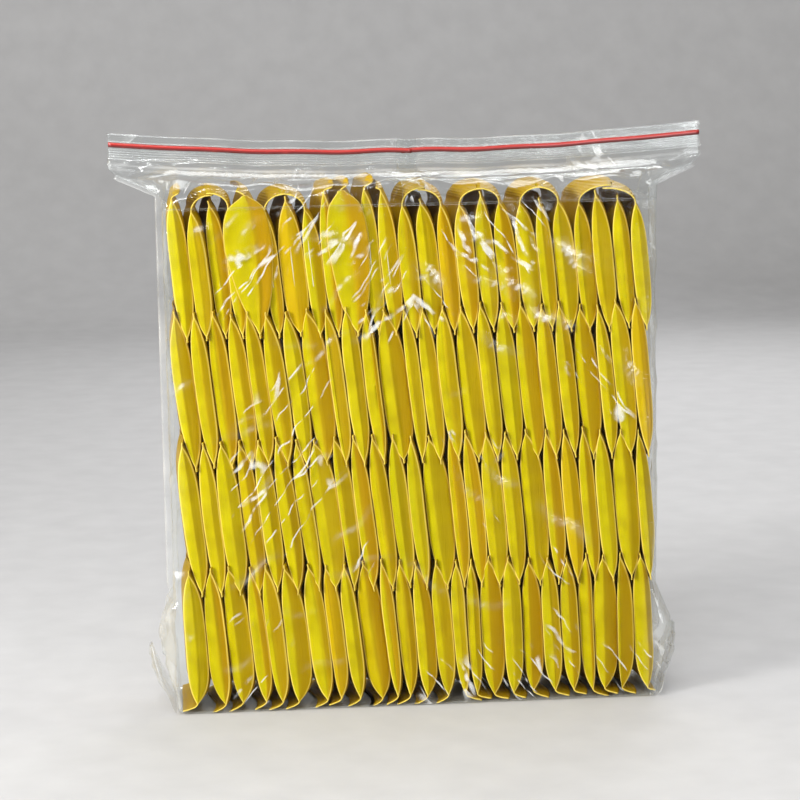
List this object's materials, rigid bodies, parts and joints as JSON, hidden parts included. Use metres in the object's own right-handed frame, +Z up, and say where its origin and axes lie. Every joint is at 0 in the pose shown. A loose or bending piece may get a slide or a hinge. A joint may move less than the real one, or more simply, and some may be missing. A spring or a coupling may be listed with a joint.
{
  "type": "resealable pack of pheromone lure sachets",
  "caption": "Clear press-seal film bag with a red closing line, standing upright and packed tight with rows of yellow pheromone lure sachets for insect traps.",
  "frame": {"origin": "on the surface that the pack stands on, under the middle of the pack", "axes": "+X across the pack's width, -Y towards its front face, +Z up to the zip"},
  "size_m": [0.2798, 0.0508, 0.2742],
  "materials": {
    "clear_film": "clear soft polyethylene film, glossy, creased",
    "red_closing_line": "red line run into the film",
    "yellow_sachet_film": "satin yellow film",
    "lure_pad": "soft fibre pad"
  },
  "bodies": {
    "bag_body": {"front_panel": "clear_film", "back_panel": "clear_film", "left_side_panel": "clear_film", "right_side_panel": "clear_film", "bottom_panel": "clear_film", "left_side_seam": "clear_film", "right_side_seam": "clear_film", "sachets_row_1_stack_1": "yellow_sachet_film", "sachets_row_1_stack_2": "yellow_sachet_film", "sachets_row_1_stack_3": "yellow_sachet_film", "sachets_row_1_stack_4": "yellow_sachet_film", "sachets_row_1_stack_5": "yellow_sachet_film", "sachets_row_2_stack_1": "yellow_sachet_film", "sachets_row_2_stack_2": "yellow_sachet_film", "sachets_row_2_stack_3": "yellow_sachet_film", "sachets_row_2_stack_4": "yellow_sachet_film", "sachets_row_2_stack_5": "yellow_sachet_film", "sachets_row_3_stack_1": "yellow_sachet_film", "sachets_row_3_stack_2": "yellow_sachet_film", "sachets_row_3_stack_3": "yellow_sachet_film", "sachets_row_3_stack_4": "yellow_sachet_film", "sachets_row_3_stack_5": "yellow_sachet_film", "sachets_row_4_stack_1": "yellow_sachet_film", "sachets_row_4_stack_2": "yellow_sachet_film", "sachets_row_4_stack_3": "yellow_sachet_film", "sachets_row_4_stack_4": "yellow_sachet_film", "sachets_row_4_stack_5": "yellow_sachet_film", "lure_pads_row_1": "lure_pad", "lure_pads_row_2": "lure_pad", "lure_pads_row_3": "lure_pad", "lure_pads_row_4": "lure_pad"},
    "front_lip_left": {"front_lip_left": "clear_film", "front_zip_groove_left": "clear_film", "front_red_line_left": "red_closing_line", "front_mouth_film_left": "clear_film"},
    "front_lip_right": {"front_lip_right": "clear_film", "front_zip_groove_right": "clear_film", "front_red_line_right": "red_closing_line", "front_mouth_film_right": "clear_film"},
    "back_lip_left": {"back_lip_left": "clear_film", "back_zip_rib_left": "clear_film", "back_red_line_left": "red_closing_line", "back_mouth_film_left": "clear_film"},
    "back_lip_right": {"back_lip_right": "clear_film", "back_zip_rib_right": "clear_film", "back_red_line_right": "red_closing_line", "back_mouth_film_right": "clear_film"},
    "left_ear": {"left_ear": "clear_film"},
    "right_ear": {"right_ear": "clear_film"}
  },
  "joints": [
    {"name": "front_lip_right_open", "type": "hinge", "parent": "bag_body", "child": "front_lip_right", "pos_m": [0.13847, 0, 0.26669], "axis": [0, 0.5736, 0.8192], "range_deg": [0, 10]},
    {"name": "front_lip_left_open", "type": "hinge", "parent": "bag_body", "child": "front_lip_left", "pos_m": [-0.13847, 0, 0.26669], "axis": [0, -0.5736, -0.8192], "range_deg": [0, 10]},
    {"name": "back_lip_right_open", "type": "hinge", "parent": "bag_body", "child": "back_lip_right", "pos_m": [0.13847, 0, 0.26669], "axis": [0, 0.5736, -0.8192], "range_deg": [0, 10]},
    {"name": "back_lip_left_open", "type": "hinge", "parent": "bag_body", "child": "back_lip_left", "pos_m": [-0.13847, 0, 0.26669], "axis": [0, -0.5736, 0.8192], "range_deg": [0, 10]},
    {"name": "left_ear_fold", "type": "hinge", "parent": "bag_body", "child": "left_ear", "pos_m": [-0.11597, 0, 0.0007], "axis": [0, 1, 0], "range_deg": [-64, 16]},
    {"name": "right_ear_fold", "type": "hinge", "parent": "bag_body", "child": "right_ear", "pos_m": [0.11597, 0, 0.0007], "axis": [0, -1, 0], "range_deg": [-64, 16]}
  ],
  "couplings": [
    {"joint": "front_lip_left_open", "follows": "front_lip_right_open", "ratio": 1},
    {"joint": "back_lip_left_open", "follows": "back_lip_right_open", "ratio": 1}
  ]
}
